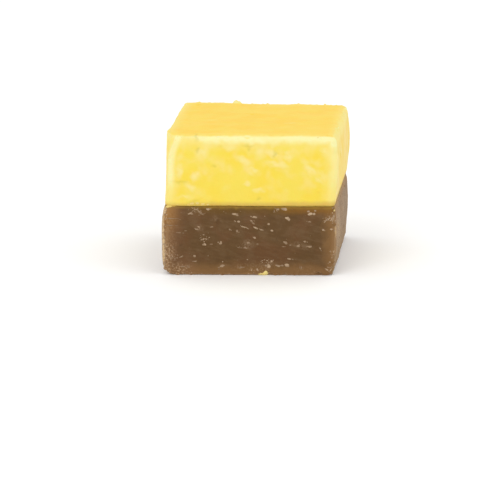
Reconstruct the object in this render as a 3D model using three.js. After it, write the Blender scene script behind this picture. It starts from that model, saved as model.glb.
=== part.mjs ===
// A fudge cube cut by hand from a poured slab: a chocolate layer below and a yellow layer above.
// Millimetres, +Z up. The front faces -Y, and the origin is the middle of the resting face.

import * as THREE from 'three';
import { ImprovedNoise } from 'three/addons/math/ImprovedNoise.js';
import { mergeVertices } from 'three/addons/utils/BufferGeometryUtils.js';

// Driving dimensions of the cube

const WIDTH = 27.8;
const DEPTH = 28.1;
const HEIGHT = 23.15;
const SEAM_HEIGHT = 11.45;

// How the knife left each wall. turn is the wall's angle in plan, in degrees. lean is how far the
// foot of the cube stands out past its top edge. step is how far the chocolate stands out past the
// yellow, from STEP_FALL below the seam. The bellies are the swelling halfway up each layer.

const WALLS = {
  left: { turn: 2.3, lean: 0.25, step: 0.3, yellowBelly: 0.05, chocolateBelly: 0.1 },
  right: { turn: 2.3, lean: -0.4, step: 0.1, yellowBelly: 0.45, chocolateBelly: 0.3 },
  front: { turn: 1.9, lean: 0.7, step: 0.06, yellowBelly: 0.1, chocolateBelly: 0.12 },
  back: { turn: -0.9, lean: 0.55, step: 0.2, yellowBelly: 0.2, chocolateBelly: 0.2 },
};
const STEP_FALL = 1.6;

// Radii of the worn edges

const UPRIGHT_RADII = { frontLeft: 1.5, frontRight: 0.9, backLeft: 0.7, backRight: 1.3 };
const WIDEST_UPRIGHT = Math.max(...Object.values(UPRIGHT_RADII));
const CROWN_RADII = { left: 0.35, right: 1.1, front: 1.0, back: 0.5 };
const FOOT_RADII = { left: 1.9, right: 1.0, front: 0.5, back: 0.8 };
const CORNER_SHARE = 6;
const SHOULDER_RADIUS = 0.14;

// The front left upright edge of the yellow layer is rubbed away further towards the top.

const RUB_REACH = 3.4;
const RUB_CORE = 0.6;
const RUB_DEPTH = 0.5;

// Unevenness of the cut faces

const SEAM_GAP = 0.04;
const SEAM_WAVE = 0.1;
const SEAM_WAVE_LENGTH = 11;
const SEAM_WAVE_SLICE = 7.3;
const SEAM_WAVE_FADE = 3;
const SWELL = 0.16;
const SWELL_LENGTH = 8.5;
const GRAIN = 0.09;
const GRAIN_LENGTH = 2.7;
const NICK_COUNT = 24;
const NICK_SEED = 7;
const NICK_SPREAD = 0.9;
const NICK_SHARE_AT_TOP = 0.6;
const NICK_REACH = [0.9, 1.7];
const NICK_DEPTH = [0.1, 0.3];
const FLAT_FACE_NORMAL = 0.98;

// Facets: each worn edge takes BAND_CELLS strips on either side of its middle.

const BAND_CELLS = 3;
const CELL = 1.3;

const noise = new ImprovedNoise();
const mix = THREE.MathUtils.lerp;
const smooth = THREE.MathUtils.smoothstep;

// A number from 0 to 1 that only depends on the count so far and the seed.
function seededRandom(seed) {
  let state = seed;
  return () => {
    state = (state * 16807) % 2147483647;
    return state / 2147483647;
  };
}

// The lines of a worn band, as shares of its width from its inner line to the edge. They lie at
// equal angles round the edge.
function bandLines(band) {
  const lines = [];
  for (let i = 1; i <= BAND_CELLS && band > 0; i++) {
    lines.push(Math.tan((i / BAND_CELLS) * (Math.PI / 4)));
  }
  return lines;
}

// Grid lines from low to high: even in the middle, and closer in the worn band at each end.
function linesAcross(low, high, lowBand, highBand) {
  const start = low + lowBand;
  const end = high - highBand;
  const cells = Math.round((end - start) / CELL);
  const lowLines = bandLines(lowBand).map((share) => start - lowBand * share);
  const middleLines = Array.from({ length: cells + 1 }, (_, i) => mix(start, end, i / cells));
  const highLines = bandLines(highBand).map((share) => end + highBand * share);
  return [...lowLines.reverse(), ...middleLines, ...highLines];
}

// Where a wall stands past its place at the top edge, at a height in one layer.
function standsOut(wall, height, layer) {
  const belly = Math.sin((Math.PI * (height - layer.low)) / (layer.high - layer.low));
  const lean = wall.lean * (1 - height / HEIGHT);
  if (!layer.isChocolate) {
    return lean + wall.yellowBelly * belly;
  }
  return lean + wall.chocolateBelly * belly + wall.step * smooth(SEAM_HEIGHT - height, 0, STEP_FALL);
}

function turned(wall, along) {
  return Math.tan(THREE.MathUtils.degToRad(wall.turn)) * along;
}

// Moves a point of the plain upright box to its place between the four uneven walls.
function betweenWalls(point, layer) {
  const { x, y, z } = point;
  const left = -WIDTH / 2 + turned(WALLS.left, y) - standsOut(WALLS.left, z, layer);
  const right = WIDTH / 2 + turned(WALLS.right, y) + standsOut(WALLS.right, z, layer);
  const front = -DEPTH / 2 + turned(WALLS.front, x) - standsOut(WALLS.front, z, layer);
  const back = DEPTH / 2 + turned(WALLS.back, x) + standsOut(WALLS.back, z, layer);
  return new THREE.Vector3(mix(left, right, x / WIDTH + 0.5), mix(front, back, y / DEPTH + 0.5), z);
}

// How far a point of the plain box lies inside its nearest wall.
function depthInside(point) {
  return Math.min(WIDTH / 2 - Math.abs(point.x), DEPTH / 2 - Math.abs(point.y));
}

function uprightRadius(point) {
  const front = point.x < 0 ? UPRIGHT_RADII.frontLeft : UPRIGHT_RADII.frontRight;
  const back = point.x < 0 ? UPRIGHT_RADII.backLeft : UPRIGHT_RADII.backRight;
  return point.y < 0 ? front : back;
}

// Rounds the four upright edges: each ring of the grid is turned into an arc at its corners.
function roundUprights(point, inside) {
  const radius = uprightRadius(point);
  const pastX = Math.abs(point.x) - (WIDTH / 2 - radius);
  const pastY = Math.abs(point.y) - (DEPTH / 2 - radius);
  if (pastX <= 0 || pastY <= 0) {
    return;
  }
  const shrink = (radius - inside) / Math.hypot(pastX, pastY);
  point.x = Math.sign(point.x) * (WIDTH / 2 - radius + pastX * shrink);
  point.y = Math.sign(point.y) * (DEPTH / 2 - radius + pastY * shrink);
}

// Rounds the edge between a wall and the face above or below it. up is 1 for the upper face.
// Returns how far the point goes in from the wall, and sets its height.
function roundLevelEdge(point, inside, faceHeight, radius, up) {
  const past = up * (point.z - faceHeight) + radius;
  const short = radius - inside;
  if (past <= 0 || short <= 0) {
    return inside;
  }
  const scale = radius / Math.hypot(past, short);
  point.z = faceHeight + up * (past * scale - radius);
  return radius - short * scale;
}

// Slides a point of a ring inwards, so that it lies at a new depth inside its wall.
function slideInwards(point, inside, newInside) {
  point.x *= (WIDTH / 2 - newInside) / (WIDTH / 2 - inside);
  point.y *= (DEPTH / 2 - newInside) / (DEPTH / 2 - inside);
}

// The radius of a level edge near a point: that of the nearest wall, eased into the next one's
// round each corner.
function levelRadius(point, radii) {
  const nearness = {
    left: 0.5 - point.x / WIDTH,
    right: 0.5 + point.x / WIDTH,
    front: 0.5 - point.y / DEPTH,
    back: 0.5 + point.y / DEPTH,
  };
  let sum = 0;
  let weights = 0;
  for (const [wall, near] of Object.entries(nearness)) {
    const weight = near ** CORNER_SHARE;
    sum += weight * radii[wall];
    weights += weight;
  }
  return sum / weights;
}

// Moves the points near the front left upright edge inwards, the more the higher they are.
function rubCorner(point) {
  const fromEdge = Math.hypot(point.x + WIDTH / 2, point.y + DEPTH / 2);
  const near = 1 - smooth(fromEdge, RUB_CORE, RUB_REACH);
  const high = Math.max((point.z - SEAM_HEIGHT) / (HEIGHT - SEAM_HEIGHT), 0);
  point.x += RUB_DEPTH * near * high;
  point.y += RUB_DEPTH * near * high;
}

// How much higher a point sits because the pour left the seam uneven. It fades out a few
// millimetres above and below the seam, so that the base and the top stay flat.
function seamRise(point) {
  const wave = noise.noise(point.x / SEAM_WAVE_LENGTH, point.y / SEAM_WAVE_LENGTH, SEAM_WAVE_SLICE);
  const fromSeam = Math.abs(point.z - SEAM_HEIGHT);
  return SEAM_WAVE * wave * (1 - smooth(fromSeam, SEAM_GAP, SEAM_WAVE_FADE));
}

// Dents where crumbs have come off the level edges, on each wall in turn, at the top or the foot.
function makeNicks() {
  const random = seededRandom(NICK_SEED);
  const nicks = [];
  for (let i = 0; i < NICK_COUNT; i++) {
    const along = (random() - 0.5) * NICK_SPREAD;
    const centre = new THREE.Vector3(along * WIDTH, -DEPTH / 2, 0);
    if (i % 2 === 1) {
      centre.set(-WIDTH / 2, along * DEPTH, 0);
    }
    if (i % 4 > 1) {
      centre.negate();
    }
    centre.z = random() < NICK_SHARE_AT_TOP ? HEIGHT - CROWN_RADII.back / 2 : FOOT_RADII.front;
    const reach = mix(...NICK_REACH, random());
    const depth = mix(...NICK_DEPTH, random());
    nicks.push({ centre, reach, depth });
  }
  return nicks;
}

const NICKS = makeNicks();

// How far the cut surface stands out (or in, below zero) at a point, along its normal.
function relief(point) {
  const swell = noise.noise(point.x / SWELL_LENGTH, point.y / SWELL_LENGTH, point.z / SWELL_LENGTH);
  const grain = noise.noise(point.x / GRAIN_LENGTH, point.y / GRAIN_LENGTH, point.z / GRAIN_LENGTH);
  let out = SWELL * swell + GRAIN * grain;
  for (const nick of NICKS) {
    out -= nick.depth * (1 - smooth(point.distanceTo(nick.centre), 0, nick.reach));
  }
  return out;
}

// Moves every vertex along its normal by the relief. The resting face and the seam stay as they
// are, so their own points only move sideways, and only at their rim.
function roughen(geometry, layer) {
  geometry.computeVertexNormals();
  const position = geometry.attributes.position;
  const normal = geometry.attributes.normal;
  const point = new THREE.Vector3();
  const direction = new THREE.Vector3();
  for (let i = 0; i < position.count; i++) {
    point.fromBufferAttribute(position, i);
    direction.fromBufferAttribute(normal, i);
    const facesDown = direction.z < -FLAT_FACE_NORMAL;
    const facesSeam = layer.isChocolate && direction.z > FLAT_FACE_NORMAL;
    if (facesDown || facesSeam) {
      continue;
    }
    const atBottom = point.z < layer.low + SHOULDER_RADIUS;
    const atShoulder = layer.isChocolate && point.z > layer.high - SHOULDER_RADIUS;
    if (atBottom || atShoulder) {
      direction.z = 0;
    }
    point.addScaledVector(direction, relief(point));
    position.setXYZ(i, point.x, point.y, point.z);
  }
  geometry.deleteAttribute('normal');
}

// One layer: a box grid whose rings are rounded, put between the walls and roughened.
function makeLayer(layer) {
  const across = linesAcross(-WIDTH / 2, WIDTH / 2, WIDEST_UPRIGHT, WIDEST_UPRIGHT);
  const along = linesAcross(-DEPTH / 2, DEPTH / 2, WIDEST_UPRIGHT, WIDEST_UPRIGHT);
  const upwards = linesAcross(layer.low, layer.high, layer.footBand, layer.crownBand);
  const box = new THREE.BoxGeometry(1, 1, 1, across.length - 1, along.length - 1, upwards.length - 1);
  box.deleteAttribute('normal');
  box.deleteAttribute('uv');
  const geometry = mergeVertices(box, 1e-5);
  const position = geometry.attributes.position;
  const line = (lines, share) => lines[Math.round((share + 0.5) * (lines.length - 1))];
  for (let i = 0; i < position.count; i++) {
    const point = new THREE.Vector3(
      line(across, position.getX(i)),
      line(along, position.getY(i)),
      line(upwards, position.getZ(i)),
    );
    const inside = depthInside(point);
    roundUprights(point, inside);
    const crown = layer.isChocolate ? SHOULDER_RADIUS : levelRadius(point, CROWN_RADII);
    const foot = layer.isChocolate ? levelRadius(point, FOOT_RADII) : 0;
    const underCrown = roundLevelEdge(point, inside, layer.high, crown, 1);
    const newInside = roundLevelEdge(point, underCrown, layer.low, foot, -1);
    slideInwards(point, inside, newInside);
    rubCorner(point);
    const placed = betweenWalls(point, layer);
    placed.z += seamRise(placed);
    position.setXYZ(i, placed.x, placed.y, placed.z);
  }
  roughen(geometry, layer);
  return geometry;
}

const chocolateLayer = {
  isChocolate: true,
  low: 0,
  high: SEAM_HEIGHT - SEAM_GAP / 2,
  footBand: FOOT_RADII.left,
  crownBand: SHOULDER_RADIUS,
};

const yellowLayer = {
  isChocolate: false,
  low: SEAM_HEIGHT + SEAM_GAP / 2,
  high: HEIGHT,
  footBand: 0,
  crownBand: CROWN_RADII.right,
};

const chocolateFudge = new THREE.MeshStandardMaterial({ color: 0x6f5438, roughness: 0.62, metalness: 0 });
const yellowFudge = new THREE.MeshStandardMaterial({ color: 0xfcdf68, roughness: 0.5, metalness: 0 });

const chocolate = new THREE.Mesh(makeLayer(chocolateLayer), chocolateFudge);
chocolate.name = 'chocolate_layer';

const yellow = new THREE.Mesh(makeLayer(yellowLayer), yellowFudge);
yellow.name = 'yellow_layer';

// The uneven walls shift the cube a little, so it is centred over the middle of its resting face.
const cube = new THREE.Group();
cube.name = 'fudge_cube';
cube.add(chocolate, yellow);
const bounds = new THREE.Box3().setFromObject(cube);
const centre = bounds.getCenter(new THREE.Vector3());
cube.position.set(-centre.x, -centre.y, -bounds.min.z);

export default cube;
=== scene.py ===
"""A fudge cube, cut by hand from a poured slab: a chocolate layer below and a yellow layer above.

Shapes are modelled in millimetres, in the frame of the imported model, and each finished piece is
scaled to metres. The front faces -Y.
"""

import math
import random

import bpy
from mathutils import Euler, Matrix, Vector, noise


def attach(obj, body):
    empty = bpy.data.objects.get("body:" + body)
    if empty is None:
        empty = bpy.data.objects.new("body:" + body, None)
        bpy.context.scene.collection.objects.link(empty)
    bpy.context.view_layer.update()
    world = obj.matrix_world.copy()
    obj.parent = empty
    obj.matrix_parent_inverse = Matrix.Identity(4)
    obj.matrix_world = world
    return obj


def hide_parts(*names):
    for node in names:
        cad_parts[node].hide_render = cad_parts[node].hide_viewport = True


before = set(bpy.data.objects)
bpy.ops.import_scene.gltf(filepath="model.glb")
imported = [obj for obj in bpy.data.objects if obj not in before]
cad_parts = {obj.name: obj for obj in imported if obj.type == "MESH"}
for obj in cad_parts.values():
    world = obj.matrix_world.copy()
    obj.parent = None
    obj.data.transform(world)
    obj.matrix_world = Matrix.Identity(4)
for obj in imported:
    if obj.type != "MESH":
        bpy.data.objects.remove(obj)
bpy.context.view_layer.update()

MM = 0.001

# ---------------------------------------------------------------- sizes of the cube, in millimetres

WIDTH = 27.8
DEPTH = 28.1
HEIGHT = 23.15
SEAM_HEIGHT = 11.45
SEAM_GAP = 0.04

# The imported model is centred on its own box, which its uneven walls shift by this much.
CENTRING = Vector((0.144, 0.076, 0))

# The lists of places on the front are measured from this point of its foot.
FRONT_ORIGIN = CENTRING + Vector((0.25, 0, 0.1))

# How the knife left each wall: its turn in plan in degrees, how far the foot stands out past the
# top edge, how far the chocolate stands out past the yellow, and each layer's swelling.
WALLS = {
    "left": {"turn": 2.3, "lean": 0.25, "step": 0.3, "yellow_belly": 0.05, "chocolate_belly": 0.1},
    "right": {"turn": 2.3, "lean": -0.4, "step": 0.1, "yellow_belly": 0.45, "chocolate_belly": 0.3},
    "front": {"turn": 1.9, "lean": 0.7, "step": 0.06, "yellow_belly": 0.1, "chocolate_belly": 0.12},
    "back": {"turn": -0.9, "lean": 0.55, "step": 0.2, "yellow_belly": 0.2, "chocolate_belly": 0.2},
}
STEP_FALL = 1.6

# Radii of the worn edges. Each edge is named by the two faces that meet there.
UPRIGHT_RADII = {"front left": 1.5, "front right": 0.9, "back left": 0.7, "back right": 1.3}
CROWN_RADII = {"front top": 1.0, "left top": 0.35, "right top": 1.1, "back top": 0.5}
FOOT_RADII = {"front foot": 0.5, "left foot": 1.9, "right foot": 1.0, "back foot": 0.8}

# The front left upright edge of the yellow is rubbed away further towards the top: how far from the
# edge that reaches, how near it is full, and how far it moves the surface.
RUB_REACH = 3.4
RUB_CORE = 0.6
RUB_DEPTH = 0.5

# The seam rises and falls a little round the cube.
SEAM_WAVE = 0.3
SEAM_WAVE_LENGTH = 4.5
SEAM_FADE = 2.5

# The outlines of patches and stains are ragged: the size of the rags, how far they reach, and the
# seed of their noise.
PATCH_RAGS = 0.9
PATCH_RAG_REACH = 0.5
PATCH_RAG_SEED = 7

# Soft pale patches and dark stains: place across, height up the front and on over the top, width
# and height of the patch, and by how many degrees it slopes down to the right.
YELLOW_PATCHES = (
    (-8.3, 20.5, 1.8, 2.6, 30),
    (-3.9, 21.3, 2.6, 1.8, 0),
    (0.9, 20.3, 2.2, 2.4, 40),
    (2.6, 20.2, 3.4, 1.6, 25),
    (5.2, 19.7, 2.2, 1.6, 20),
    (-1.8, 19.0, 2.4, 1.2, 25),
    (-0.2, 17.2, 1.9, 1.0, 15),
    (3.3, 18.4, 4.6, 1.1, 8),
    (8.9, 17.6, 4.2, 1.3, 50),
    (10.5, 16.3, 2.4, 1.4, 45),
    (-9.6, 16.4, 1.9, 1.4, 35),
    (-10.6, 14.6, 2.0, 1.0, 25),
    (-1.4, 15.1, 1.0, 0.7, 0),
    (0.6, 14.1, 1.8, 0.8, 0),
    (-12.4, 17.2, 1.0, 2.6, 0),
    (11.6, 20.4, 2.6, 2.2, 0),
    (12.9, 23.2, 1.5, 1.3, 0),
    (0.0, 21.9, 2.0, 1.1, 0),
    (2.9, 21.7, 1.6, 1.4, 0),
    (-11.6, 12.8, 2.6, 0.6, 0),
    (-7.8, 34.8, 2.0, 0.8, 0),
    (5.6, 33.0, 2.6, 0.9, 0),
)
YELLOW_STAINS = (
    (-9.6, 22.8, 0.6, 1.4, 0),
    (-9.2, 20.5, 0.8, 0.6, 0),
    (-12.1, 15.2, 2.4, 0.5, 0),
    (-1.0, 21.3, 2.0, 0.6, 0),
    (-1.1, 20.8, 0.9, 0.6, 10),
    (3.15, 20.1, 0.8, 1.2, 0),
    (0.6, 12.7, 0.9, 0.5, 0),
    (-6.7, 18.0, 0.8, 0.4, 0),
    (-9.8, 12.3, 2.0, 0.6, -10),
)
CHOCOLATE_PATCHES = (
    (-9.3, 10.4, 2.0, 1.1, -10),
    (-6.6, 9.4, 1.1, 1.1, 0),
    (5.0, 10.9, 0.9, 0.9, 0),
    (-1.0, 5.1, 2.2, 1.6, 0),
    (2.3, 1.7, 2.6, 1.2, 0),
    (5.1, 1.6, 1.6, 1.2, 0),
    (-5.1, 1.5, 2.4, 0.7, 0),
    (12.3, 0.9, 1.3, 0.7, 35),
    (7.4, 4.9, 3.6, 1.2, 12),
    (-9.0, 7.7, 1.6, 1.0, 0),
)

# Chips and notches are bites out of an edge, and pits are shallow bites out of a face. Lumps and
# crumbs are fused to an edge, and bumps to a face. A notch or a crumb has its place along its edge,
# from -1 to 1, and a radius.
YELLOW = {
    "name": "yellow_fudge",
    "low": SEAM_HEIGHT + SEAM_GAP / 2,
    "high": HEIGHT,
    "voxel": 0.155,
    "radii": {**UPRIGHT_RADII, **CROWN_RADII},
    "chips": {"front top": 4, "left top": 6, "right top": 6, "back top": 9, "back left": 3},
    "notches": (("front top", -0.63, 0.4),),
    "pits": {"left": 7, "right": 7, "back": 8, "top": 4},
    "lumps": {"front top": 6, "left top": 6, "right top": 8, "back top": 26, "back right": 8},
    "crumbs": (
        ("back top", -0.37, 0.52),
        ("back top", -0.33, 0.4),
        ("back top", 0.01, 0.24),
        ("back top", 0.4, 0.26),
        ("back top", 0.72, 0.28),
        ("back top", 0.86, 0.24),
    ),
    "bumps": {"front": 4, "left": 8, "right": 8, "back": 9, "top": 5},
    "patches": YELLOW_PATCHES,
    "stains": YELLOW_STAINS,
}
CHOCOLATE = {
    "name": "chocolate_fudge",
    "low": 0,
    "high": SEAM_HEIGHT - SEAM_GAP / 2,
    "voxel": 0.135,
    "radii": {**UPRIGHT_RADII, **FOOT_RADII},
    "chips": {"front foot": 12, "left foot": 8, "right foot": 10, "back foot": 12, "front left": 6},
    "notches": (("front right", -0.82, 0.6), ("front foot", -0.2, 0.5), ("front foot", 0.83, 0.6)),
    "pits": {"front": 14, "left": 14, "right": 14, "back": 16},
    "lumps": {"front foot": 26, "left foot": 12, "right foot": 20, "back foot": 26, "front left": 22},
    "crumbs": (("front right", 0.5, 0.3), ("front right", 0.95, 0.25), ("front right", -0.6, 0.3)),
    "bumps": {"front": 10, "left": 14, "right": 14, "back": 14},
    "patches": CHOCOLATE_PATCHES,
    "stains": (),
}

# Each kind of bite or crumb: the range of its radius, and of its rise, which is how far out its middle
# stands from the surface, in radii. What lies on a face keeps within these shares of it.
CHIP = {"radius": (0.35, 0.8), "rise": (0.62, 0.85)}
PIT = {"radius": (0.25, 0.7), "rise": (0.72, 0.9)}
LUMP = {"radius": (0.18, 0.34), "rise": (-0.7, -0.35)}
BUMP = {"radius": (0.2, 0.5), "rise": (-0.88, -0.75)}
NOTCH_RISE = 0.6
CRUMB_RISE = 0.1
SHARE_ACROSS_FACE = 0.92
SHARE_UP_FACE = 0.85

# ---------------------------------------------------------------- modelling helpers


def pick(*pieces):
    """Selects these pieces alone, with the first one active."""
    bpy.ops.object.select_all(action="DESELECT")
    for piece in pieces:
        piece.select_set(True)
    bpy.context.view_layer.objects.active = pieces[0]


def named(name):
    """The active object, once it has this name."""
    piece = bpy.context.object
    piece.name = piece.data.name = name
    return piece


def apply(piece, kind, **settings):
    """Adds a modifier to a piece and applies it."""
    pick(piece)
    modifier = piece.modifiers.new(kind.lower(), kind)
    for setting, value in settings.items():
        setattr(modifier, setting, value)
    bpy.ops.object.modifier_apply(modifier=modifier.name)


def mix(low, high, share):
    return low + (high - low) * share


def smooth(value, low, high):
    """0 below low, 1 above high and a smooth rise between."""
    share = min(max((value - low) / (high - low), 0), 1)
    return share * share * (3 - 2 * share)


def middle_of(layer):
    return Vector((0, 0, (layer["high"] + layer["low"]) / 2))


# ---------------------------------------------------------------- where the uneven walls stand


def stands_out(wall, height, layer):
    """How far a wall stands out past its top edge, at a height in one layer."""
    belly = math.sin(math.pi * (height - layer["low"]) / (layer["high"] - layer["low"]))
    lean = wall["lean"] * (1 - height / HEIGHT)
    if layer is YELLOW:
        return lean + wall["yellow_belly"] * belly
    fallen = smooth(SEAM_HEIGHT - height, 0, STEP_FALL)
    return lean + wall["chocolate_belly"] * belly + wall["step"] * fallen


def between_walls(place, layer):
    """The place that a point of the plain upright block takes between the four uneven walls."""
    turned = {name: math.tan(math.radians(wall["turn"])) for name, wall in WALLS.items()}
    out = {name: stands_out(wall, place.z, layer) for name, wall in WALLS.items()}
    left = -WIDTH / 2 + turned["left"] * place.y - out["left"]
    right = WIDTH / 2 + turned["right"] * place.y + out["right"]
    front = -DEPTH / 2 + turned["front"] * place.x - out["front"]
    back = DEPTH / 2 + turned["back"] * place.x + out["back"]
    across, along = place.x / WIDTH + 0.5, place.y / DEPTH + 0.5
    return Vector((mix(left, right, across), mix(front, back, along), place.z)) + CENTRING


# ---------------------------------------------------------------- places on the plain upright block

SIDES = {
    "left": Vector((-1, 0, 0)),
    "right": Vector((1, 0, 0)),
    "front": Vector((0, -1, 0)),
    "back": Vector((0, 1, 0)),
    "top": Vector((0, 0, 1)),
    "foot": Vector((0, 0, -1)),
}


def direction(name):
    """From the middle of the block towards a named face, or towards a named edge, such as front top."""
    return sum((SIDES[side] for side in name.split()), Vector())


def surface_point(name, shares, layer):
    """A point on a named face or worn edge, and the way out from it. Shares say where, from -1 to 1."""
    toward = direction(name)
    free_shares = iter(shares)
    half = (WIDTH / 2, DEPTH / 2, (layer["high"] - layer["low"]) / 2)
    corner = Vector((part or next(free_shares)) * length for part, length in zip(toward, half))
    outward = toward.normalized()
    cut_back = layer["radii"].get(name, 0) * (math.sqrt(2) - 1)
    return corner + middle_of(layer) - outward * cut_back, outward


def in_clusters(count, draw):
    """Places along an edge, from -1 to 1, in loose clusters with clean stretches between them."""
    middles = [draw.uniform(-0.95, 0.95) for _ in range(count // 4 + 1)]
    return [min(max(draw.gauss(draw.choice(middles), 0.08), -0.97), 0.97) for _ in range(count)]


# ---------------------------------------------------------------- stones: chips, lumps and grains


def make_stones(count, seed):
    """Irregular little lumps, about 1 across, from icospheres whose points are pushed about."""
    stones = []
    for number in range(count):
        bpy.ops.mesh.primitive_ico_sphere_add(subdivisions=2, radius=0.5)
        stone = named(f"stone {number}")
        bpy.ops.object.mode_set(mode="EDIT")
        bpy.ops.mesh.select_all(action="SELECT")
        bpy.ops.transform.vertex_random(offset=0.09, seed=seed + number)
        bpy.ops.object.mode_set(mode="OBJECT")
        stones.append(stone)
    return stones


def lay(stone, place, turn, size):
    """A copy of a stone, with its own mesh, at a place."""
    copy = stone.copy()
    copy.data = stone.data.copy()
    bpy.context.collection.objects.link(copy)
    copy.matrix_world = Matrix.LocRotScale(place, turn, size)
    return copy


def join(pieces, name):
    """Joins pieces into the first one, with its place in its mesh."""
    pick(*pieces)
    bpy.ops.object.join()
    bpy.ops.object.transform_apply(location=True, rotation=True, scale=True)
    return named(name)


def set_stone(name, shares, radius, rise, layer, draw):
    """A stone on a named edge or face. Rise is how far out its middle stands, in radii."""
    place, outward = surface_point(name, shares, layer)
    turn = Euler([draw.uniform(0, 2 * math.pi) for _ in range(3)])
    size = 2 * radius * Vector([draw.uniform(0.7, 1.3) for _ in range(3)])
    return lay(draw.choice(stones), place + outward * radius * rise, turn, size)


def along_edges(counts, kind, layer, draw):
    """Stones of a kind along named edges, in clusters."""
    placed = []
    for name, count in counts.items():
        for along in in_clusters(count, draw):
            radius, rise = draw.uniform(*kind["radius"]), draw.uniform(*kind["rise"])
            placed.append(set_stone(name, [along], radius, rise, layer, draw))
    return placed


def over_faces(counts, kind, layer, draw):
    """Stones of a kind strewn over named faces."""
    placed = []
    for name, count in counts.items():
        for _ in range(count):
            shares = [draw.uniform(-reach, reach) for reach in (SHARE_ACROSS_FACE, SHARE_UP_FACE)]
            radius, rise = draw.uniform(*kind["radius"]), draw.uniform(*kind["rise"])
            placed.append(set_stone(name, shares, radius, rise, layer, draw))
    return placed


def bites(layer, draw):
    """What the chips, notches and pits take out of a layer."""
    taken = along_edges(layer["chips"], CHIP, layer, draw)
    for name, along, radius in layer["notches"]:
        taken.append(set_stone(name, [along], radius, NOTCH_RISE, layer, draw))
    taken += over_faces(layer["pits"], PIT, layer, draw)
    return join(taken, "bites")


def fused_crumbs(layer, draw):
    """The crumbs that are fused to the worn edges and to the faces of a layer."""
    crumbs = along_edges(layer["lumps"], LUMP, layer, draw)
    for name, along, radius in layer["crumbs"]:
        crumbs.append(set_stone(name, [along], radius, CRUMB_RISE, layer, draw))
    crumbs += over_faces(layer["bumps"], BUMP, layer, draw)
    return join(crumbs, "crumbs")


# ---------------------------------------------------------------- the two layers

CAGE_MARGIN = 2
CAGE_LEVELS = 12
FLAT_FACE_NORMAL = 0.999
FLAT_FACE_SLACK = 0.1


def worn_block(layer, draw):
    """The upright block of a layer: its edges worn round, chipped, and rough with fused crumbs."""
    middle = middle_of(layer)
    size = (WIDTH, DEPTH, layer["high"] - layer["low"])
    bpy.ops.mesh.primitive_cube_add(size=1, location=middle, scale=size)
    block = named(layer["name"])
    bpy.ops.object.transform_apply(location=True, scale=True)
    widest = max(layer["radii"].values())
    weights = block.data.attributes.new("bevel_weight_edge", "FLOAT", "EDGE")
    for name, radius in layer["radii"].items():
        toward = direction(name)
        for edge in block.data.edges:
            ends = [block.data.vertices[number].co - middle for number in edge.vertices]
            if all(end[i] * toward[i] > 0 for end in ends for i in range(3) if toward[i]):
                weights.data[edge.index].value = radius / widest
    apply(block, "BEVEL", limit_method="WEIGHT", width=widest, segments=6)
    taken = bites(layer, draw)
    apply(block, "BOOLEAN", object=taken, operation="DIFFERENCE", solver="EXACT", use_self=True)
    bpy.data.objects.remove(taken)
    block = join([block, fused_crumbs(layer, draw)], layer["name"])
    apply(block, "REMESH", mode="VOXEL", voxel_size=layer["voxel"], use_smooth_shade=True)
    return block


def set_between_walls(block, layer):
    """Bends the upright block to the uneven walls with a lattice that reaches a little past it."""
    reach = Vector((WIDTH + CAGE_MARGIN, DEPTH + CAGE_MARGIN, layer["high"] - layer["low"]))
    middle = middle_of(layer)
    bpy.ops.object.add(type="LATTICE", location=middle)
    cage = bpy.context.object
    cage.scale = reach
    cage.data.points_u = cage.data.points_v = 2
    cage.data.points_w = CAGE_LEVELS
    cage.data.interpolation_type_u = cage.data.interpolation_type_v = "KEY_LINEAR"
    cage.data.interpolation_type_w = "KEY_LINEAR"
    for point in cage.data.points:
        bent = between_walls(point.co * reach + middle, layer) - middle
        point.co_deform = Vector(length / whole for length, whole in zip(bent, reach))
    apply(block, "LATTICE", object=cage)
    bpy.data.objects.remove(cage)


def mark(piece, name, rule):
    """Keeps a number for every point of a piece, for its finish."""
    values = [rule(vertex) for vertex in piece.data.vertices]
    piece.data.attributes.new(name, "FLOAT", "POINT").data.foreach_set("value", values)


def in_patches(place, patches):
    """1 in the middle of a patch, and 0 outside them all. Patches lie on the front and the top."""
    deepest = 0
    place = place + noise.noise_vector(place / PATCH_RAGS) * PATCH_RAG_REACH
    up_and_over = place.z + max(place.y + DEPTH / 2 - 1, 0)
    if up_and_over < HEIGHT + DEPTH / 2:
        for across, height, wide, high, slope in patches:
            turn = math.radians(slope)
            right, above = place.x - across, up_and_over - height
            along = right * math.cos(turn) - above * math.sin(turn)
            over = right * math.sin(turn) + above * math.cos(turn)
            deepest = max(deepest, smooth(math.hypot(along / wide, over / high) * 2, 1.5, 0))
    return deepest


def mark_patches(block, layer):
    """Marks the pale patches and the stains of a block that stands between its walls."""
    noise.seed_set(PATCH_RAG_SEED)
    for name in ("patches", "stains"):
        mark(block, name, lambda vertex: in_patches(vertex.co - FRONT_ORIGIN, layer[name]))


def make_zone(block, name, rule):
    """Keeps a weight for every point of a block, for its modifiers."""
    group = block.vertex_groups.new(name=name)
    for vertex in block.data.vertices:
        weight = rule(vertex)
        if weight > 0:
            group.add([vertex.index], weight, "REPLACE")


def rub_corner(block):
    """Moves the points near the front left upright edge inwards, the more the higher they are."""

    def rubbed(vertex):
        from_edge = math.hypot(vertex.co.x + WIDTH / 2, vertex.co.y + DEPTH / 2)
        high = (vertex.co.z - SEAM_HEIGHT) / (HEIGHT - SEAM_HEIGHT)
        return smooth(from_edge, RUB_REACH, RUB_CORE) * min(max(high, 0), 1)

    make_zone(block, "rubbed", rubbed)
    for axis in "XY":
        apply(block, "DISPLACE", vertex_group="rubbed", strength=RUB_DEPTH, mid_level=0, direction=axis)


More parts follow.
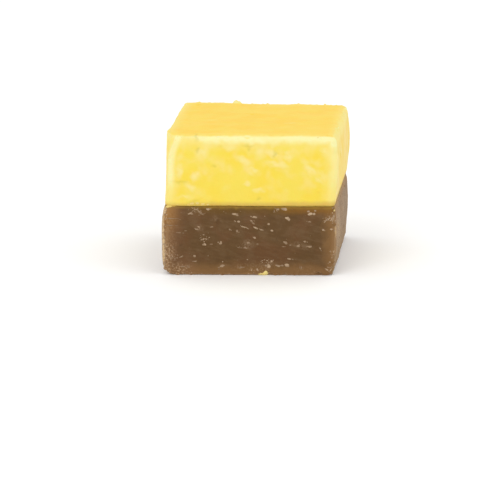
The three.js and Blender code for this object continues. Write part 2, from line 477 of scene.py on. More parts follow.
def mark_and_zone(block, layer):
    """Marks the edges and which way a point faces, and zones what is worn or near the seam."""

    def bend(vertex):
        """0 on a flat face, and up to 0.7 on the middle of a round edge."""
        return sorted(abs(part) for part in vertex.normal)[1]

    def from_edge(vertex):
        """How far a point is from the nearest worn edge, measured along the faces of the block."""
        from_end = HEIGHT - vertex.co.z if layer is YELLOW else vertex.co.z
        return sorted([WIDTH / 2 - abs(vertex.co.x), DEPTH / 2 - abs(vertex.co.y), from_end])[1]

    def from_seam(vertex):
        return abs(vertex.co.z - SEAM_HEIGHT)

    def open_to_air(vertex):
        from_floor = vertex.co.z if layer is CHOCOLATE else HEIGHT
        return smooth(from_seam(vertex), 0.05, 1.0) * smooth(from_floor, 0, 0.4)

    mark(block, "bend", bend)
    mark(block, "from_edge", from_edge)
    mark(block, "up", lambda vertex: max(vertex.normal.z, 0))
    mark(block, "aside", lambda vertex: abs(vertex.normal.x))
    mark(block, "ahead", lambda vertex: max(-vertex.normal.y, 0))
    make_zone(block, "open", open_to_air)
    make_zone(block, "worn", lambda vertex: smooth(bend(vertex), 0.1, 0.5) * open_to_air(vertex))
    make_zone(block, "seam", lambda vertex: smooth(from_seam(vertex), SEAM_FADE, 0))


def displace(block, zone, size, strength, depth=1, middle=0.5, **settings):
    """Moves the points of a zone in and out by soft noise of a size. Strength is its whole range."""
    texture = bpy.data.textures.new(zone, "CLOUDS")
    texture.noise_scale = size
    texture.noise_depth = depth
    texture.noise_basis = "IMPROVED_PERLIN"
    common = {"texture_coords": "LOCAL", "vertex_group": zone, "texture": texture, "mid_level": middle}
    apply(block, "DISPLACE", strength=strength, **common, **settings)


def close_hidden_faces(block, layer):
    """Makes the seam face, and the face that the cube rests on, one flat polygon each."""
    levels = [SEAM_HEIGHT] if layer is YELLOW else [SEAM_HEIGHT, 0]
    for level in levels:
        pick(block)
        bpy.ops.object.mode_set(mode="EDIT")
        bpy.ops.mesh.select_mode(type="FACE")
        bpy.ops.mesh.select_all(action="DESELECT")
        bpy.ops.object.mode_set(mode="OBJECT")
        for face in block.data.polygons:
            is_level = abs(face.normal.z) > FLAT_FACE_NORMAL
            face.select = is_level and abs(face.center.z - level) < FLAT_FACE_SLACK
        bpy.ops.object.mode_set(mode="EDIT")
        bpy.ops.mesh.dissolve_faces()
        bpy.ops.object.mode_set(mode="OBJECT")


def make_layer(layer, seed):
    draw = random.Random(seed)
    block = worn_block(layer, draw)
    rub_corner(block)
    mark_and_zone(block, layer)
    set_between_walls(block, layer)
    mark_patches(block, layer)
    displace(block, "open", size=8.5, strength=0.36)
    displace(block, "open", size=2.7, strength=0.14, depth=2)
    displace(block, "worn", size=1.5, strength=0.42, depth=3, middle=0.55)
    displace(block, "worn", size=0.55, strength=0.18, depth=2)
    displace(block, "open", size=0.42, strength=0.06)
    close_hidden_faces(block, layer)
    displace(block, "seam", SEAM_WAVE_LENGTH, SEAM_WAVE, depth=3, direction="Z")
    return block


stones = make_stones(5, seed=3)
yellow_block = make_layer(YELLOW, seed=11)
chocolate_block = make_layer(CHOCOLATE, seed=14)

# ---------------------------------------------------------------- grains of sugar and loose crumbs

# The grains that stand out on the front of the chocolate: place across, height, width, height of the
# grain, its turn in degrees, and how pale it is.
FRONT_GRAINS = (
    (-13.5, 9.3, 2.0, 0.14, 0, 0.6),
    (-13.7, 8.2, 1.6, 0.14, 0, 0.4),
    (-12.3, 7.0, 0.8, 0.2, 0, 0.3),
    (-12.0, 3.0, 0.5, 0.33, 0, 0.5),
    (-11.6, 1.35, 1.2, 0.25, 0, 0.3),
    (-10.54, 10.2, 0.85, 0.45, 10, 0.6),
    (-9.84, 3.14, 0.6, 0.38, 0, 0.6),
    (-9.76, 2.2, 0.75, 0.2, 0, 0.6),
    (-9.6, 10.85, 1.2, 0.18, -12, 0.6),
    (-9.57, 7.6, 0.7, 0.28, -10, 0.55),
    (-9.15, 7.97, 0.38, 0.38, 0, 0.8),
    (-9.1, 10.5, 1.2, 0.2, -18, 0.5),
    (-8.7, 10.1, 1.0, 0.18, -24, 0.4),
    (-8.11, 5.06, 0.5, 0.5, 0, 0.95),
    (-7.67, 10.85, 0.58, 0.5, 0, 0.9),
    (-5.57, 5.31, 0.6, 0.55, 0, 0.6),
    (-5.43, 1.43, 1.05, 0.48, 5, 0.65),
    (-4.1, 7.54, 0.5, 0.35, 0, 0.25),
    (-3.34, 10.1, 1.05, 0.5, 0, 0.65),
    (-2.92, 7.25, 0.5, 0.5, 0, 0.3),
    (-2.66, 8.84, 0.75, 0.35, -12, 0.8),
    (-2.22, 1.28, 1.0, 0.28, 0, 0.35),
    (-1.8, 7.97, 1.25, 0.24, -20, 0.8),
    (-1.51, 4.51, 0.7, 0.28, 0, 0.4),
    (-1.17, 5.37, 0.5, 0.48, 0, 0.4),
    (-0.55, 8.99, 0.7, 0.24, -18, 0.55),
    (0.01, 7.9, 1.25, 0.28, -20, 0.85),
    (0.08, 9.58, 1.25, 0.42, -18, 0.7),
    (0.35, 0.87, 0.45, 0.42, 0, 0.9),
    (0.98, 7.59, 0.6, 0.25, -15, 0.55),
    (1.2, 2.4, 0.4, 0.2, 0, 0.6),
    (2.04, 2.45, 0.4, 0.2, 0, 0.8),
    (2.25, 1.43, 0.85, 0.7, 0, 0.9),
    (2.67, 2.26, 0.4, 0.34, 0, 1),
    (3.64, 10.92, 0.55, 0.28, 0, 0.65),
    (3.78, 1.51, 0.9, 0.45, -15, 0.65),
    (4.62, 4.74, 0.55, 0.2, 0, 0.4),
    (4.9, 10.92, 0.9, 0.65, 0, 0.8),
    (4.96, 5.46, 0.9, 0.5, 0, 0.35),
    (5.17, 9.48, 1.0, 0.5, -18, 0.9),
    (5.17, 1.7, 1.05, 0.6, 0, 0.85),
    (5.6, 2.7, 0.65, 0.4, -20, 0.6),
    (7.07, 4.88, 0.65, 0.42, -25, 0.55),
    (7.55, 1.2, 0.3, 0.9, 0, 0.25),
    (8.04, 5.61, 0.55, 0.28, -15, 0.55),
    (8.82, 4.74, 0.9, 0.32, -12, 0.55),
    (8.82, 8.9, 0.75, 0.22, 0, 0.45),
    (8.96, 10.2, 1.05, 0.68, 8, 1),
    (10.63, 4.46, 0.45, 0.28, -30, 0.55),
    (11.05, 7.54, 0.45, 0.42, 0, 0.85),
    (11.75, 0.93, 0.75, 0.24, -40, 0.9),
    (11.6, 9.2, 0.9, 0.22, 55, 0.7),
    (12.0, 9.4, 1.0, 0.24, 58, 0.9),
    (12.17, 2.23, 0.5, 0.35, 0, 0.6),
    (12.38, 0.93, 0.75, 0.24, 50, 0.9),
    (12.4, 9.3, 1.0, 0.24, 58, 0.9),
    (12.44, 7.65, 0.6, 0.36, -10, 0.9),
    (12.8, 9.6, 0.9, 0.24, 60, 0.9),
    (12.9, 10.7, 0.5, 0.4, 40, 0.7),
)

# Patches where the knife dragged the sugar out: place across, height, spread, number of grains, and
# how pale the palest are.
FRONT_PATCHES = (
    (-9.8, 10.8, 1.5, 40, 0.7),
    (-8.3, 5.9, 0.8, 34, 1),
    (-13.6, 3.0, 1.2, 44, 0.8),
    (2.2, 2.1, 1.1, 26, 0.8),
    (3.3, 10.7, 0.6, 14, 0.6),
    (11.9, 9.2, 0.9, 22, 0.6),
    (12.2, 1.2, 0.7, 20, 0.8),
    (-2.0, 4.8, 0.9, 10, 0.3),
)

# How many more grains are strewn over each wall and along each edge, and crumbs along the crown.
SCATTERED_GRAINS = {"front": 30, "left": 90, "right": 90, "back": 100}
EDGE_GRAINS = {"front left": 90, "front right": 36, "front foot": 40, "right foot": 30, "left foot": 30}
CROWN_CRUMBS = {"front top": 8, "left top": 16, "right top": 8, "back top": 40}
GRAIN_WIDTHS = (0.16, 0.7)
CRUMB_WIDTHS = (0.15, 0.34)

# Crumbs of yellow fudge stuck to the front, at the seam and in a chip at the foot: place across,
# height, width and height of each, and how pale it is. The less pale, the more it is painted in shade.
STUCK_CRUMBS = (
    (-14.3, 11.2, 0.8, 0.5, 0.3),
    (-13.8, 11.3, 0.7, 0.4, 0.1),
    (-13.2, 11.35, 0.8, 0.35, 0),
    (-12.0, 11.35, 0.7, 0.3, 0),
    (-10.9, 11.55, 0.6, 0.35, 0),
    (-10.3, 11.8, 0.8, 0.5, 0.3),
    (-9.9, 11.4, 0.6, 0.4, 0.1),
    (-9.4, 11.85, 0.7, 0.45, 0.4),
    (-9.1, 11.45, 0.6, 0.4, 0),
    (-8.5, 11.7, 0.75, 0.45, 0.3),
    (-8.2, 11.35, 0.5, 0.35, 0.1),
    (-7.7, 11.6, 0.55, 0.35, 0.3),
    (-12.6, 11.6, 0.4, 0.3, 0.1),
    (12.85, 10.7, 0.4, 0.35, 0.5),
    (1.8, 0.3, 0.75, 0.8, 0.7),
    (1.4, 0.2, 0.95, 0.55, 0.5),
    (0.9, 0.15, 0.9, 0.35, 0.6),
)
STUCK_CRUMB_TURN = 12

# A grain is seated where a line from this far outside the cube meets it.
FAR_BEFORE_FRONT = 40
FAR_FROM_SURFACE = 10
LONGEST_LINE = 60


def seat(block, line, size, turn, paleness, draw):
    """A grain where a line meets a block: flat against it, a quarter sunk, turned by some degrees."""
    met, place, normal, _ = block.ray_cast(*line, distance=LONGEST_LINE)
    if not met:
        return []
    across = Vector((0, 0, 1)).cross(normal) if abs(normal.z) < 0.9 else Vector((1, 0, 0))
    across = (across - normal * across.dot(normal)).normalized()
    flat = Matrix((across, normal.cross(across), normal)).transposed().to_quaternion()
    spin = Euler((0, 0, math.radians(turn))).to_quaternion()
    grain = lay(draw.choice(small_stones), place - normal * size[2] / 4, flat @ spin, Vector(size))
    mark(grain, "paleness", lambda vertex: paleness)
    return [grain]


def line_to_front(across, height):
    return FRONT_ORIGIN + Vector((across, -FAR_BEFORE_FRONT, height)), Vector((0, 1, 0))


def line_to_face(name, layer, draw):
    """A line straight into a named face, anywhere on it."""
    shares = [draw.uniform(-0.95, 0.95), draw.uniform(-0.93, 0.93)]
    place, outward = surface_point(name, shares, layer)
    return between_walls(place, layer) + outward * FAR_FROM_SURFACE, -outward


def line_to_edge(name, along, layer, draw):
    """A line that meets a named worn edge, or the face close beside it."""
    place, outward = surface_point(name, [along], layer)
    aside = Vector([draw.gauss(0, 0.25) for _ in range(3)])
    return between_walls(place, layer) + aside + outward * FAR_FROM_SURFACE, -outward


def make_sugar_grains(seed):
    """The pale specks in the chocolate, some of them dragged into short strokes by the knife."""
    draw = random.Random(seed)
    grains = []
    for across, height, wide, high, turn, pale in FRONT_GRAINS:
        for share in (1, 0.8, 0.65, 0.5, 0.4):
            along = (1 - share) * draw.gauss(0, wide * 0.7)
            above = (1 - share) * draw.gauss(0, high * 0.7) + along * math.tan(math.radians(turn))
            line = line_to_front(across + along, height + above)
            size = (wide * mix(0.3, 0.72, share), high * mix(0.35, 0.78, share), 0.09 + 0.06 * share)
            grains += seat(chocolate_block, line, size, turn + draw.gauss(0, 8), pale * share, draw)
    for across, height, spread, count, palest in FRONT_PATCHES:
        for _ in range(count):
            line = line_to_front(draw.gauss(across, spread / 2), draw.gauss(height, spread / 3))
            wide = mix(0.1, 0.32, draw.random() ** 1.5)
            turn = draw.uniform(-50, 30)
            pale = draw.uniform(0.1, palest)
            grains += seat(chocolate_block, line, (wide, wide * 0.5, 0.12), turn, pale, draw)
    for name, count in SCATTERED_GRAINS.items():
        for _ in range(count):
            line = line_to_face(name, CHOCOLATE, draw)
            wide = mix(*GRAIN_WIDTHS, draw.random() ** 2.5)
            high = min(wide, 0.45) * draw.uniform(0.4, 0.9)
            turn = draw.gauss(-8, 12)
            grains += seat(chocolate_block, line, (wide, high, 0.13), turn, draw.random() ** 2, draw)
    for name, count in EDGE_GRAINS.items():
        for along in in_clusters(count, draw):
            line = line_to_edge(name, along, CHOCOLATE, draw)
            wide = draw.uniform(*CRUMB_WIDTHS)
            turn = draw.uniform(0, 180)
            grains += seat(chocolate_block, line, (wide, wide * 0.7, 0.16), turn, draw.random(), draw)
    return join(grains, "sugar_grains")


def make_yellow_crumbs(seed):
    """Crumbs of the yellow fudge along its cut edges, and a few stuck to the front."""
    draw = random.Random(seed)
    crumbs = []
    for name, count in CROWN_CRUMBS.items():
        for along in in_clusters(count, draw):
            line = line_to_edge(name, along, YELLOW, draw)
            wide = draw.uniform(*CRUMB_WIDTHS)
            turn = draw.uniform(0, 180)
            size = (wide, wide * 0.8, wide * 0.7)
            crumbs += seat(yellow_block, line, size, turn, draw.uniform(0.5, 1), draw)
    for across, height, wide, high, pale in STUCK_CRUMBS:
        block = yellow_block if height > SEAM_HEIGHT else chocolate_block
        size = (wide, high, min(high, 0.5) * 0.9)
        crumbs += seat(block, line_to_front(across, height), size, STUCK_CRUMB_TURN, pale, draw)
    return join(crumbs, "yellow_crumbs")


small_stones = make_stones(5, seed=30)
for stone in small_stones:
    apply(stone, "DECIMATE", ratio=0.5)
bpy.context.view_layer.update()
sugar_grains = make_sugar_grains(seed=21)
yellow_crumbs = make_yellow_crumbs(seed=22)
for stone in stones + small_stones:
    bpy.data.objects.remove(stone)

for piece in (yellow_block, chocolate_block, sugar_grains, yellow_crumbs):
    for vertex in piece.data.vertices:
        vertex.co.z = max(vertex.co.z, 0)
    pick(piece)
    piece.scale = (MM, MM, MM)
    bpy.ops.object.transform_apply(location=True, rotation=True, scale=True)
    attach(piece, "root")
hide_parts("yellow_layer")
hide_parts("chocolate_layer")

# ---------------------------------------------------------------- how a finish is written


class Value:
    """One output of a finish's nodes. Arithmetic on it adds Math nodes."""

    def __init__(self, finish, socket):
        self.finish = finish
        self.socket = socket

    def maths(self, operation, *values):
        return self.finish.node("Math", {"operation": operation}, dict(enumerate(values)))

    def __add__(self, other):
        return self.maths("ADD", self, other)

    def __sub__(self, other):
        return self.maths("SUBTRACT", self, other)

    def __rsub__(self, other):
        return self.maths("SUBTRACT", other, self)

    def __mul__(self, other):
        return self.maths("MULTIPLY", self, other)

    __radd__ = __add__
    __rmul__ = __mul__

    def between(self, low, high):
        """0 below low, 1 above high and a smooth rise between, or a fall if high is the lower."""
        limits = {"Value": self, "From Min": low, "From Max": high}
        return self.finish.node("MapRange", {"interpolation_type": "SMOOTHSTEP"}, limits)


class Finish:
    """A material whose nodes are added by calls. Lengths in it are millimetres.

    It starts with one colour all over, and each call of paint lays another one over it.
    """

    def __init__(self, name, colour):
        self.colour = colour
        self.material = bpy.data.materials.new(name)
        self.material.use_nodes = True
        self.tree = self.material.node_tree
        self.tree.nodes.clear()
        object_place = self.node("TexCoord", {}, {}, "Object")
        self.place = self.node("VectorMath", {"operation": "SCALE"}, {0: object_place, "Scale": 1 / MM})

    def node(self, kind, settings, values, output=0):
        made = self.tree.nodes.new("ShaderNode" + kind)
        for setting, value in settings.items():
            setattr(made, setting, value)
        for key, value in values.items():
            if isinstance(value, Value):
                self.tree.links.new(value.socket, made.inputs[key])
            else:
                made.inputs[key].default_value = value
        return Value(self, made.outputs[output]) if made.outputs else None

    def mark(self, name):
        return self.node("Attribute", {"attribute_name": name}, {}, "Fac")

    def axis(self, vector, index):
        return self.node("SeparateXYZ", {}, {0: vector}, index)

    def drawn_out(self, turn, stretch):
        """The place, turned by degrees about each axis and then stretched along each."""
        turn = [math.radians(angle) for angle in turn]
        values = {"Vector": self.place, "Rotation": turn, "Scale": stretch}
        return self.node("Mapping", {"vector_type": "TEXTURE"}, values)

    def ragged(self, place, size, reach):
        """A place pushed about by noise, which makes round shapes ragged."""
        push = self.node("TexNoise", {}, {"Vector": place, "Scale": 1 / size, "Detail": 2}, "Color")
        return self.node("VectorMath", {"operation": "MULTIPLY_ADD"}, {0: push, 1: [reach] * 3, 2: place})

    def noise(self, size, detail=2.0, roughness=0.5, distortion=0.0, place=None):
        values = {"Vector": place or self.place, "Scale": 1 / size, "Detail": detail}
        values.update({"Roughness": roughness, "Distortion": distortion})
        return self.node("TexNoise", {}, values)

    def specks(self, size, radius, share, place=None):
        """Ragged specks of up to a radius, in a share of the cells of a size."""
        place = self.ragged(place or self.place, radius * 1.5, radius * 2)
        lot = self.node("TexVoronoi", {}, {"Vector": place, "Scale": 1 / size}, "Color")
        reach = (self.axis(lot, 1) * 0.7 + 0.3) * (radius / size)
        near = self.node("TexVoronoi", {}, {"Vector": place, "Scale": 1 / size}).between(reach, reach * 0.4)
        return near * self.axis(lot, 0).between(share + 0.02, share)

    def paint(self, mask, colour):
        """Lays a colour over what is painted so far, as far as the mask says."""
        self.colour = self.node("Mix", {"data_type": "RGBA"}, {0: mask, 6: self.colour, 7: colour}, 2)

    def close(self, roughness, relief, depth, uniform):
        """Ends the material with its shader. Relief from 0 to 1 stands for a depth in millimetres."""
        normal = self.node("Bump", {}, {"Height": relief, "Distance": depth * MM})
        values = {"Base Color": self.colour, "Roughness": roughness, "Normal": normal}
        shader = self.node("BsdfPrincipled", {}, {**values, **uniform})
        self.node("OutputMaterial", {}, {"Surface": shader})
        return self.material


def rgb(red, green, blue):
    return (red, green, blue, 1.0)


# ---------------------------------------------------------------- the finishes


def yellow_fudge():
    """Satin yellow, mottled with cream on the cut faces, smoother on top, and cream on the worn edges that
    is partly wear and partly a painted highlight.
    """
    finish = Finish("yellow fudge", rgb(0.81, 0.635, 0.085))
    paint_yellow_faces(finish)
    paint_yellow_walls(finish)
    paint_yellow_edges(finish)
    paint_yellow_seam(finish)
    roughness = 0.5 + finish.noise(1.5, 3) * 0.16
    grain = finish.noise(0.35, 3, 0.6) * 0.5 + finish.noise(1.2, 2) * 0.5
    uniform = {"Subsurface Weight": 0.1, "Subsurface Scale": 0.0008, "Specular IOR Level": 0.2}
    return finish.close(roughness, grain, 0.05, uniform)


def paint_yellow_faces(finish):
    """Cloudy yellow in front, warmer and faintly dented on top, with cream patches."""
    height = finish.axis(finish.place, 2)
    deep = finish.noise(5, 2, 0.5).between(0.4, 0.62)
    finish.paint(deep * 0.65, rgb(0.82, 0.61, 0.055))
    clouds = finish.noise(2, 1.5, 0.4).between(0.42, 0.85)
    finish.paint(clouds * (0.4 + height.between(12.5, 19) * 0.5), rgb(0.82, 0.66, 0.22))
    dragged = finish.noise(0.9, 3, 0.55, 0, finish.drawn_out((0, 35, 0), (2.2, 1, 1)))
    top = finish.mark("up").between(0.75, 0.97)
    finish.paint(top, rgb(0.84, 0.60, 0.075))
    orange = finish.noise(4, 3, 0.5).between(0.4, 0.65)
    finish.paint(top * orange * 0.8, rgb(0.85, 0.56, 0.055))
    dents = finish.specks(5, 0.4, 0.5, finish.drawn_out((0, 0, 0), (2.5, 1.5, 1)))
    finish.paint(top * dents * 0.5, rgb(0.84, 0.66, 0.16))
    patches = finish.mark("patches") * dragged.between(0.2, 0.55) * (1 - top * 0.5)
    finish.paint(patches * 0.9, rgb(0.82, 0.69, 0.26))


def paint_yellow_walls(finish):
    """The left and the right wall: warmer, and streaked with cream where the knife went."""
    side = finish.mark("aside").between(0.8, 0.98)
    finish.paint(side * 0.7, rgb(0.82, 0.58, 0.10))
    streaks = finish.noise(1, 3, 0.6, 0, finish.drawn_out((0, 0, 0), (1, 4.5, 12))).between(0.42, 0.65)
    finish.paint(side * streaks * 0.6, rgb(0.83, 0.66, 0.28))
    fine = finish.noise(0.5, 3, 0.65, 0, finish.drawn_out((0, 0, 0), (1, 2.5, 4)))
    finish.paint(side * fine.between(0.5, 0.64) * 0.4, rgb(0.83, 0.69, 0.3))
    finish.paint(side * fine.between(0.5, 0.36) * 0.35, rgb(0.81, 0.54, 0.07))


def paint_yellow_edges(finish):
    """A paler margin beside the worn edges, and cream on them, most of all round the front. The cream is
    partly wear and partly a painted highlight.
    """
    up, ahead = finish.mark("up"), finish.mark("ahead")
    across, height = finish.axis(finish.place, 0), finish.axis(finish.place, 2)
    top = up.between(0.75, 0.97)
    from_edge = finish.mark("from_edge") + finish.noise(1.8, 2, 0.5) * 1.4 + top
    high_up = height.between(SEAM_HEIGHT + 1.5, SEAM_HEIGHT + 5)
    margin = from_edge.between(3.8, 1.4) * (0.5 + high_up * 0.3)
    finish.paint(margin, rgb(0.82, 0.67, 0.19))
    # Cream on the worn edges, partly wear and partly a painted highlight: a band down the round of the
    # front left upright edge, and the front top and right edges where they face the front.
    left = across - height.between(18.5, 24.5) * 1.6
    left = left.between(-14.1, -13.7) * left.between(-12.4, -13.3) * ahead.between(0.2, 0.5) * high_up
    right = across.between(9, 13)
    uneven = finish.noise(4, 2).between(0.4, 0.6)
    crown = (height + across.between(-10, -7) * 1.3).between(HEIGHT - 0.9, HEIGHT + 0.1)
    crown = crown * (0.3 + across.between(-10.5, -6) * 0.4 + uneven * 0.35)
    strength = 0.15 + ahead.between(0.1, 0.4) * (crown + right * high_up * 0.35)
    cream = from_edge.between(2.5, 1.2) * strength + left * 0.75
    finish.paint(cream * up.between(1.05, 0.55), rgb(0.82, 0.765, 0.36))


def paint_yellow_seam(finish):
    """Stains and dark specks, and the yellow darkening to olive and brown just above the seam."""
    across, height = finish.axis(finish.place, 0), finish.axis(finish.place, 2)
    finish.paint(finish.mark("stains") * 0.3, rgb(0.45, 0.36, 0.03))
    finish.paint(finish.specks(3.2, 0.13, 0.2) * 0.4, rgb(0.45, 0.34, 0.05))
    over_seam = height - SEAM_HEIGHT + finish.noise(1.2, 3, 0.6) * 0.4
    over_seam = over_seam + across.between(-9, -12) * 0.25 - across.between(3, 7) * 0.15
    finish.paint(over_seam.between(1.25, 0.4) * 0.9, rgb(0.62, 0.42, 0.085))
    finish.paint(over_seam.between(0.4, 0.2) * 0.45, rgb(0.4, 0.26, 0.04))


def chocolate_fudge():
    """Matte brown with drag marks and fine pale specks, ochre and crumbly where it is worn.

    A bloom of fine sugar makes it paler where it is seen at a low angle.
    """
    finish = Finish("chocolate fudge", rgb(0.105, 0.053, 0.016))
    dragged = finish.drawn_out((0, 12, 0), (4, 1, 1))
    streaks = finish.noise(0.5, 3, 0.6, 0, dragged)
    stipple = finish.noise(0.28, 2, 0.6)
    paint_chocolate_faces(finish, streaks)
    paint_chocolate_walls(finish)
    paint_specks(finish, dragged, stipple)
    from_edge = finish.mark("from_edge") + finish.noise(1.5, 3, 0.6) * 2
    worn = from_edge.between(3.8, 1.6)
    paint_worn_and_shaded_chocolate(finish, from_edge, worn)
    paint_crumbly_chocolate(finish, worn, stipple, streaks)
    paint_chocolate_seam(finish)
    roughness = 0.55 + finish.noise(1.5, 3) * 0.2
    grain = stipple * 0.6 + streaks * 0.5 + finish.noise(1, 2) * 0.4
    bloom = {"Sheen Weight": 0.4, "Sheen Roughness": 0.35, "Sheen Tint": rgb(1, 0.74, 0.48)}
    return finish.close(roughness, grain, 0.09, {"Specular IOR Level": 0.2, **bloom})


def paint_chocolate_faces(finish, streaks):
    """Brown, reddish in places, with lighter and darker drag marks."""
    reddish = finish.noise(4, 2, 0.5).between(0.42, 0.62)
    finish.paint(reddish * 0.7, rgb(0.124, 0.054, 0.018))
    lighter = finish.noise(2.2, 3, 0.6).between(0.5, 0.72)
    finish.paint(lighter * 0.5, rgb(0.14, 0.08, 0.034))
    finish.paint(streaks.between(0.45, 0.75) * 0.35, rgb(0.16, 0.095, 0.045))
    finish.paint(streaks.between(0.48, 0.28) * 0.25, rgb(0.075, 0.036, 0.012))


def paint_chocolate_walls(finish):
    """The left and the right wall: paler in front with dust and a painted sheen, darker towards the back,
    and mottled.
    """
    side = finish.mark("aside").between(0.8, 0.98)
    along, height = finish.axis(finish.place, 1), finish.axis(finish.place, 2)
    drawn_up = finish.noise(1, 3, 0.6, 0, finish.drawn_out((0, 0, 0), (1, 3.5, 6))).between(0.36, 0.64)
    ragged_height = height + finish.noise(2.5, 3, 0.6) * 3
    # Dust and a painted sheen make the walls paler, most towards the front and less near the seam.
    dust_and_sheen = 0.12 + drawn_up * 0.14 + along.between(-2, -8) * 0.16
    dust_and_sheen = dust_and_sheen * (1 - ragged_height.between(10.1, 11.3) * 0.6)
    finish.paint(side * dust_and_sheen, rgb(0.38, 0.25, 0.135))
    finish.paint(side * along.between(-3, 12) * 0.5, rgb(0.07, 0.04, 0.018))
    mottled = finish.noise(0.8, 3, 0.65, 0, finish.drawn_out((0, 0, 0), (1, 3, 1)))
    finish.paint(side * mottled.between(0.5, 0.66) * 0.12, rgb(0.48, 0.34, 0.2))
    finish.paint(side * mottled.between(0.5, 0.34) * 0.4, rgb(0.08, 0.045, 0.02))


def paint_specks(finish, dragged, stipple):
    """Patches where the knife dragged the sugar out, and fine pale specks all over."""
    patches = finish.mark("patches") * stipple.between(0.3, 0.6)
    finish.paint(patches * 0.5, rgb(0.23, 0.145, 0.08))
    scratches = finish.specks(0.9, 0.12, 0.3, dragged)
    finish.paint(scratches * 0.35, rgb(0.25, 0.16, 0.085))
    finish.paint(finish.specks(0.9, 0.12, 0.3) * 0.3, rgb(0.28, 0.19, 0.11))
    finish.paint(finish.specks(0.45, 0.08, 0.3) * 0.4, rgb(0.26, 0.17, 0.10))


def paint_worn_and_shaded_chocolate(finish, from_edge, worn):
    """Ochre where it is worn and redder up the left edge, with a painted warm reflection along the foot and
    a painted shade low on the left and right walls.
    """
    bend, aside, ahead = finish.mark("bend"), finish.mark("aside"), finish.mark("ahead")
    across, height = finish.axis(finish.place, 0), finish.axis(finish.place, 2)
    # Ochre where it is worn. Along the foot this band is partly a painted warm reflection of light from
    # beneath.
    finish.paint(worn * 0.9, rgb(0.205, 0.104, 0.034))
    left = across.between(-8, -11) * from_edge.between(5.5, 1.5)
    finish.paint(left * 0.3, rgb(0.25, 0.125, 0.065))
    right = across.between(8, 12)
    # Lighter on the rounds of the worn edges. At the foot this is partly a painted warm reflection.
    finish.paint(worn * bend.between(0.05, 0.5) * (0.6 - right * 0.35), rgb(0.31, 0.18, 0.08))
    upper_left = across.between(-11, -14) * ahead.between(0.05, 0.4) * height.between(6.5, 10)
    finish.paint(upper_left * 0.5, rgb(0.34, 0.155, 0.03))
    # Painted shade low on the left and right walls, warmed orange like a painted reflection of yellow fudge
    # beneath.
    ragged_height = height + finish.noise(2.5, 3, 0.6) * 3
    low_side_shade = aside.between(0.5, 0.9) * ragged_height.between(6.1, 3.5)
    finish.paint(low_side_shade * 0.85, rgb(0.15, 0.075, 0.015))


def paint_crumbly_chocolate(finish, worn, stipple, streaks):
    """Pale and dark crumbs where it is worn, and a pale broken ridge along the upright edges."""
    bend, aside, ahead = finish.mark("bend"), finish.mark("aside"), finish.mark("ahead")
    across, height = finish.axis(finish.place, 0), finish.axis(finish.place, 2)
    right, low = across.between(8, 12), height.between(8, 5)
    lower_left = across.between(-9.5, -12.5) * height.between(6.5, 4)
    stippled = worn * (lower_left + finish.noise(4, 1).between(0.48, 0.62) * 0.4)
    finish.paint(stippled * stipple.between(0.5, 0.6) * 0.7, rgb(0.42, 0.29, 0.17))
    finish.paint(stippled * stipple.between(0.46, 0.34) * 0.6, rgb(0.08, 0.045, 0.02))
    ridge = aside + finish.noise(1.2, 2) * 0.4 - right * 0.12
    ridge = ridge.between(0.8, 0.95) * ridge.between(1.15, 1.0) * bend.between(0.1, 0.3)
    broken = finish.noise(2.5, 2).between(0.35, 0.55) * (0.4 + ahead.between(0, 0.2) * 0.5)
    rim = aside.between(0.6, 0.75) * ahead.between(0.1, 0.45) * (0.35 + streaks.between(0.4, 0.6) * 0.4)
    ridge = ridge * broken * (1 - right * 0.4) * (1 - right * low * 0.8) + rim * (1 - right * 0.8)
    finish.paint(ridge, rgb(0.57, 0.4, 0.21))


def paint_chocolate_seam(finish):
    """Olive and rust where the yellow has run into the brown under the seam."""
    across, height = finish.axis(finish.place, 0), finish.axis(finish.place, 2)
    under_seam = SEAM_HEIGHT - height + finish.noise(1.2, 3, 0.6) * 0.7
    tinted = under_seam.between(2.2, 0.8) * across.between(-11, -8) * across.between(9, 6)
    finish.paint(tinted * 0.6, rgb(0.125, 0.06, 0.004))
    rusty = under_seam.between(2.0, 0.9) * across.between(3, 7)
    finish.paint(rusty * 0.8, rgb(0.2, 0.088, 0.01))
    olive = under_seam.between(1.0, 0.4) * (0.5 + finish.noise(3, 2).between(0.4, 0.6) * 0.4)
    finish.paint(olive, rgb(0.27, 0.155, 0.018))


def grains_finish(name, dull, pale):
    """From dull grains to pale ones, each of them slightly mottled."""
    finish = Finish(name, dull)
    finish.paint(finish.mark("paleness") * 0.8 + finish.noise(0.5, 2) * 0.2, pale)
    relief = finish.noise(0.12, 3)
    return finish.close(0.5 + relief * 0.3, relief, 0.03, {"Specular IOR Level": 0.25})


sugar = grains_finish("sugar grains", rgb(0.15, 0.085, 0.038), rgb(0.5, 0.36, 0.23))
# The dull end of the yellow crumbs is the yellow fudge in painted shade, and the pale end is cream.
crumbs = grains_finish("yellow crumbs", rgb(0.68, 0.46, 0.1), rgb(0.82, 0.72, 0.3))
yellow_block.data.materials.append(yellow_fudge())
chocolate_block.data.materials.append(chocolate_fudge())
sugar_grains.data.materials.append(sugar)
yellow_crumbs.data.materials.append(crumbs)

# ---------------------------------------------------------------- camera, floor and light

CAMERA_DISTANCE = 560
CAMERA_ELEVATION = math.radians(13.27)
CAMERA_AZIMUTH = math.radians(3.27)
CAMERA_ASIDE = -1.41
CAMERA_UP = 0.78
LENS = 240.7
SENSOR = 36

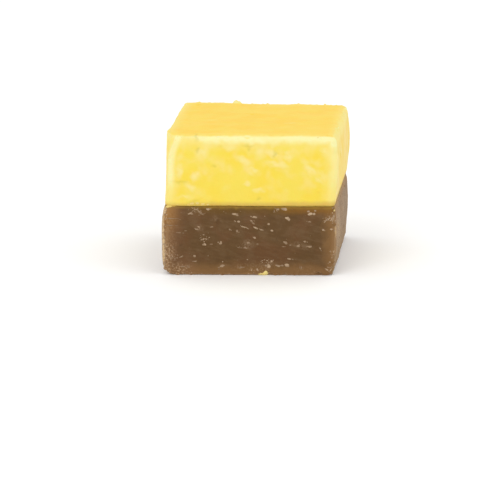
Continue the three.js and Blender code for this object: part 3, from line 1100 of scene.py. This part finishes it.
# In metres
FLOOR_SIZE = 6
LIGHT_AIM = Vector((0, 0, 0.012))

WORLD_STRENGTH = 1.05


def make_camera():
    """A long lens, a little right of the front and a little above, that keeps the cube off centre."""
    right = Vector((math.cos(CAMERA_AZIMUTH), math.sin(CAMERA_AZIMUTH), 0))
    back = Vector((right.y, -right.x, math.tan(CAMERA_ELEVATION))).normalized()
    up = back.cross(right)
    data = bpy.data.cameras.new("camera")
    data.lens = LENS
    data.sensor_width = SENSOR
    camera = bpy.data.objects.new("camera", data)
    bpy.context.scene.collection.objects.link(camera)
    place = back * CAMERA_DISTANCE + right * CAMERA_ASIDE + up * CAMERA_UP + CENTRING
    turn = Matrix((right, up, back)).transposed().to_4x4()
    camera.matrix_world = Matrix.Translation(place * MM) @ turn
    bpy.context.scene.camera = camera


def area_light(name, place, size, power):
    """A square soft light that faces the cube. Its place and size are in metres."""
    data = bpy.data.lights.new(name, "AREA")
    data.size = size
    data.energy = power
    light = bpy.data.objects.new(name, data)
    bpy.context.scene.collection.objects.link(light)
    light.location = place
    aim = LIGHT_AIM - Vector(place)
    light.rotation_mode = "QUATERNION"
    light.rotation_quaternion = aim.to_track_quat("-Z", "Y")


def make_floor():
    bpy.ops.mesh.primitive_plane_add(size=FLOOR_SIZE)
    floor = named("floor")
    finish = Finish("pale floor", rgb(0.96, 0.96, 0.96))
    shader = finish.node("BsdfPrincipled", {}, {"Base Color": finish.colour, "Roughness": 0.9})
    finish.node("OutputMaterial", {}, {"Surface": shader})
    floor.data.materials.append(finish.material)


def make_world():
    world = bpy.data.worlds.new("studio")
    world.use_nodes = True
    background = world.node_tree.nodes["Background"]
    background.inputs["Color"].default_value = rgb(1, 1, 1)
    background.inputs["Strength"].default_value = WORLD_STRENGTH
    bpy.context.scene.world = world


make_camera()
make_floor()
make_world()
area_light("key", (-0.25, -0.45, 0.45), 0.35, 0.7)
area_light("fill", (0.5, -0.15, 0.3), 0.4, 0.25)
bpy.context.scene.view_settings.view_transform = "Standard"
